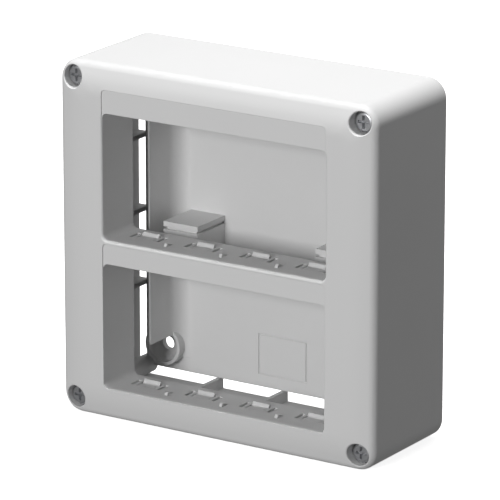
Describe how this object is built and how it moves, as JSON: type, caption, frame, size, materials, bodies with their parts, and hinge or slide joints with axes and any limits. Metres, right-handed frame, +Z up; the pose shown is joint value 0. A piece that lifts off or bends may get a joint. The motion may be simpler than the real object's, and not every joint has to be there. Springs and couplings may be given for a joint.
{
  "type": "surface mount box",
  "caption": "Square surface mount box: a deep moulded cover with two device windows, held by recessed corner screws to a tray with side rails.",
  "frame": {"origin": "middle of the back plane that lies on the wall", "axes": "+Z up, -Y out of the front, +X to the right seen from the front"},
  "size_m": [0.127, 0.047, 0.127],
  "materials": {
    "cover_plastic": "fine satin moulded surface, light grey",
    "tray_plastic": "satin moulded surface, light grey",
    "screw_steel": "zinc plated steel"
  },
  "bodies": {
    "root": {"front_cover": "cover_plastic", "base_tray": "tray_plastic", "screw_top_left": "screw_steel", "screw_top_right": "screw_steel", "screw_bottom_left": "screw_steel", "screw_bottom_right": "screw_steel"}
  },
  "joints": []
}
